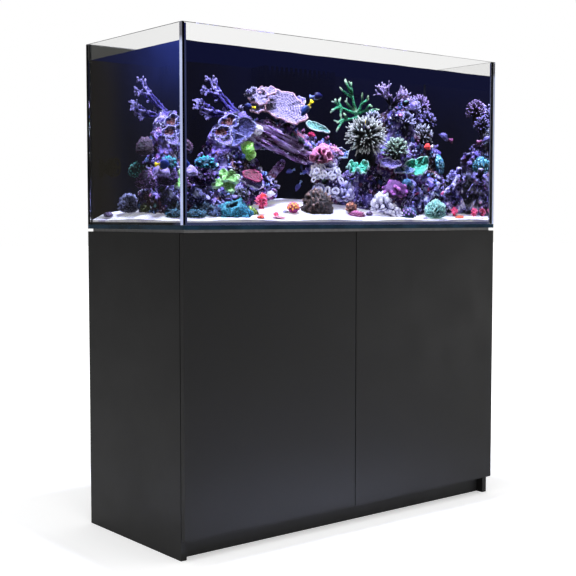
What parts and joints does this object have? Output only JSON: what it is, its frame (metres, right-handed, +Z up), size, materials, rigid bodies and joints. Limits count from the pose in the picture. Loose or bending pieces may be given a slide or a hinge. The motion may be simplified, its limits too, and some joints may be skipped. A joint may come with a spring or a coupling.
{
  "type": "aquarium on stand",
  "caption": "Open-topped glass reef aquarium on a charcoal two-door cabinet, with overflow, plumbing, sump, live rock and corals.",
  "frame": {"origin": "on the floor, under the middle of the tank and cabinet", "axes": "+Z up, the doors face -Y, +X is to the right when facing the doors"},
  "size_m": [1.2, 0.5, 1.4],
  "materials": {
    "board": "satin charcoal laminate on board",
    "plinth": "matt black laminate on board",
    "hinge_steel": "nickel-plated pressed steel",
    "black_plastic": "black moulded plastic",
    "mat_foam": "closed-cell foam mat",
    "tank_glass": "clear low-iron glass with polished edges",
    "sump_glass": "clear float glass",
    "back_film": "black film on the back of the glass",
    "sealant": "black silicone sealant",
    "grey_pipe": "dark grey rigid pipe",
    "red_handle": "red moulded handle",
    "white_plastic": "white moulded plastic",
    "sand": "fine white aragonite sand",
    "reef_rock": "rough porous rock with purple crust",
    "lilac_coral": "ridged lilac plate coral",
    "purple_coral": "soft purple finger coral",
    "green_coral": "green branching coral with pale tips",
    "cream_coral": "pale finger-tipped stony coral"
  },
  "bodies": {
    "base": {"side_panel_left": "board", "side_panel_right": "board", "bottom_panel": "board", "top_panel": "board", "front_rail": "board", "plinth_front": "plinth", "back_panel": "board", "hinge_arm_left_lower": "hinge_steel", "hinge_arm_left_upper": "hinge_steel", "hinge_arm_right_lower": "hinge_steel", "hinge_arm_right_upper": "hinge_steel", "door_catch": "black_plastic", "foam_mat": "mat_foam", "tank_base": "tank_glass", "front_pane": "tank_glass", "back_pane": "tank_glass", "left_pane": "tank_glass", "right_pane": "tank_glass", "back_film": "back_film", "silicone_seams": "sealant", "weir_box": "black_plastic", "tank_fitting_drain": "black_plastic", "tank_fitting_spare": "black_plastic", "tank_fitting_return": "black_plastic", "drain_standpipe": "grey_pipe", "spare_standpipe": "grey_pipe", "return_riser": "grey_pipe", "drain_pipe": "grey_pipe", "valve_body": "grey_pipe", "spare_pipe": "grey_pipe", "sump_tank": "sump_glass", "return_pump": "black_plastic", "return_pipe": "grey_pipe", "top_up_reservoir": "white_plastic", "float_valve": "black_plastic", "pump_bracket": "black_plastic", "sand_bed": "sand", "rock_left": "reef_rock", "rock_right": "reef_rock", "rock_arch": "reef_rock", "finger_coral": "purple_coral", "plate_coral": "lilac_coral", "staghorn_coral": "green_coral", "spiky_coral": "cream_coral"},
    "left_door": {"left_door": "board", "hinge_cup_left_lower": "hinge_steel", "hinge_cup_left_upper": "hinge_steel", "strike_plate_left": "hinge_steel"},
    "right_door": {"right_door": "board", "hinge_cup_right_lower": "hinge_steel", "hinge_cup_right_upper": "hinge_steel", "strike_plate_right": "hinge_steel"},
    "weir_comb": {"weir_comb": "black_plastic"},
    "filter_cup": {"filter_cup": "white_plastic"},
    "valve_lever": {"valve_lever": "red_handle"},
    "return_elbow": {"return_elbow": "black_plastic"},
    "return_nozzle": {"return_nozzle": "black_plastic"},
    "circulation_pump": {"circulation_pump": "black_plastic"},
    "pump_impeller": {"pump_impeller": "white_plastic"},
    "float_arm": {"float_arm": "white_plastic"}
  },
  "joints": [
    {"name": "left_door_hinge", "type": "hinge", "parent": "base", "child": "left_door", "pos_m": [-0.595, -0.242, 0.458], "axis": [0, 0, -1], "range_deg": [0, 105]},
    {"name": "right_door_hinge", "type": "hinge", "parent": "base", "child": "right_door", "pos_m": [0.595, -0.242, 0.458], "axis": [0, 0, 1], "range_deg": [0, 105]},
    {"name": "weir_comb_lift", "type": "slide", "parent": "base", "child": "weir_comb", "axis": [0, 0, 1], "range_m": [0, 0.08]},
    {"name": "filter_cup_lift", "type": "slide", "parent": "base", "child": "filter_cup", "axis": [0, 0, 1], "range_m": [0, 0.12]},
    {"name": "valve_turn", "type": "hinge", "parent": "base", "child": "valve_lever", "pos_m": [-0.41, 0.075, 0.575], "axis": [0, 1, 0], "range_deg": [0, 90]},
    {"name": "return_elbow_pitch", "type": "hinge", "parent": "base", "child": "return_elbow", "pos_m": [0.17, 0.189, 1.284], "axis": [1, 0, 0], "range_deg": [-35, 35]},
    {"name": "return_nozzle_yaw", "type": "hinge", "parent": "return_elbow", "child": "return_nozzle", "pos_m": [0.1893, 0.153, 1.284], "axis": [0, 0, 1], "range_deg": [-30, 30]},
    {"name": "circulation_pump_swivel", "type": "hinge", "parent": "base", "child": "circulation_pump", "pos_m": [-0.523, 0.2127, 1.046], "axis": [0, 0, 1], "range_deg": [-40, 40]},
    {"name": "impeller_spin", "type": "hinge", "parent": "circulation_pump", "child": "pump_impeller", "pos_m": [-0.523, 0.165, 1.046], "axis": [0, 1, 0], "continuous": true},
    {"name": "float_arm_pivot", "type": "hinge", "parent": "base", "child": "float_arm", "pos_m": [0.148, -0.08, 0.3443], "axis": [0, 1, 0], "range_deg": [0, 25]}
  ]
}
